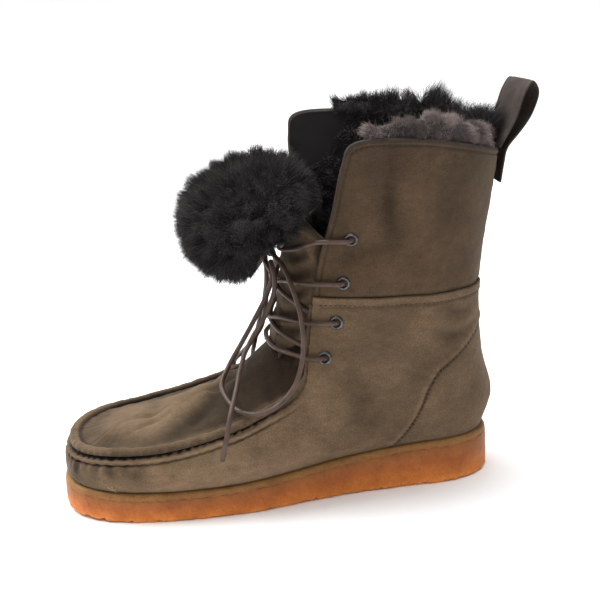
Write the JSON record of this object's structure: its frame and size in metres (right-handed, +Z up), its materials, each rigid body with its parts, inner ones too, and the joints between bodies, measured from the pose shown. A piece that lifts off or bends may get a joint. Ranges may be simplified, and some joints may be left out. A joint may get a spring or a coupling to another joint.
{
  "type": "moccasin boot",
  "caption": "Ankle-high suede moccasin boot for the right foot, fleece lined, with a gathered apron toe, folded fleece tongue, laced front, pull loop and crepe wedge sole.",
  "frame": {"origin": "on the flat underside of the outsole, on the heel's middle line, half way along the sole", "axes": "+Z up from the floor, -Y towards the toe, +X towards the inner (medial) side of the foot"},
  "size_m": [0.1199, 0.2985, 0.2447],
  "materials": {
    "crepe": "natural crepe rubber",
    "crepe_rim": "thin crepe layer",
    "lining": "short fleece",
    "suede": "napped suede",
    "fleece": "deep curly fleece",
    "strap": "smooth dark leather",
    "lace": "round leather thong",
    "eyelet": "dark nickel"
  },
  "bodies": {
    "root": {"outsole": "crepe", "midsole": "crepe_rim", "insole": "lining", "upper": "suede", "shaft": "suede", "apron": "suede", "tongue": "suede", "tongue_cuff": "fleece", "collar_fleece": "fleece", "pull_loop": "strap", "eyelet_inner_1": "eyelet", "eyelet_inner_2": "eyelet", "eyelet_inner_3": "eyelet", "eyelet_inner_4": "eyelet", "eyelet_outer_1": "eyelet", "eyelet_outer_2": "eyelet", "eyelet_outer_3": "eyelet", "eyelet_outer_4": "eyelet", "lace_bar_lower": "lace", "lace_crossing_1": "lace", "lace_crossing_2": "lace", "lace_bar_top": "lace", "lace_knot": "lace", "lace_loop_inner": "lace", "lace_loop_outer": "lace", "lace_end_inner": "lace", "lace_end_outer": "lace"}
  },
  "joints": []
}
